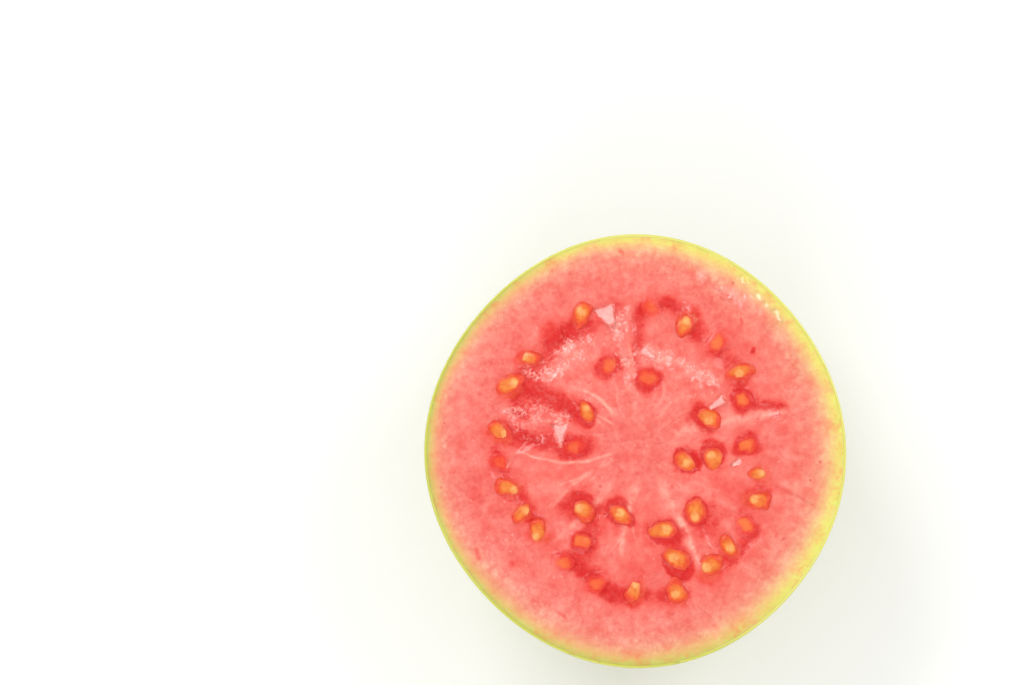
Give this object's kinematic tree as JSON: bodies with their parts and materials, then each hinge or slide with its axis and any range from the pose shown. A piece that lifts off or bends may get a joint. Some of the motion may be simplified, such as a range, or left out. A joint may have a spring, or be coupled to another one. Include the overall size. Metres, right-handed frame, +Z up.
{
  "type": "guava half",
  "caption": "Half of a ripe pink guava, cut across, resting on its rounded skin with the cut face, seed chambers and seeds turned up.",
  "frame": {"origin": "middle of the small flat spot round the stem end that the half rests on, level with the surface under it", "axes": "+Z up, out of the cut face; +Y towards the edge of the face that is at the top of the usual view; +X to the right of it"},
  "size_m": [0.066, 0.0678, 0.0383],
  "materials": {
    "guava_flesh": "wet juicy fruit flesh, glossy and slightly translucent",
    "guava_skin": "smooth waxy fruit skin, yellow green, lightly mottled",
    "guava_seed": "hard smooth seed under a film of juice",
    "guava_stem_scar": "dry woody scar of the stalk"
  },
  "bodies": {
    "root": {"guava_half": "guava_flesh"}
  },
  "joints": []
}
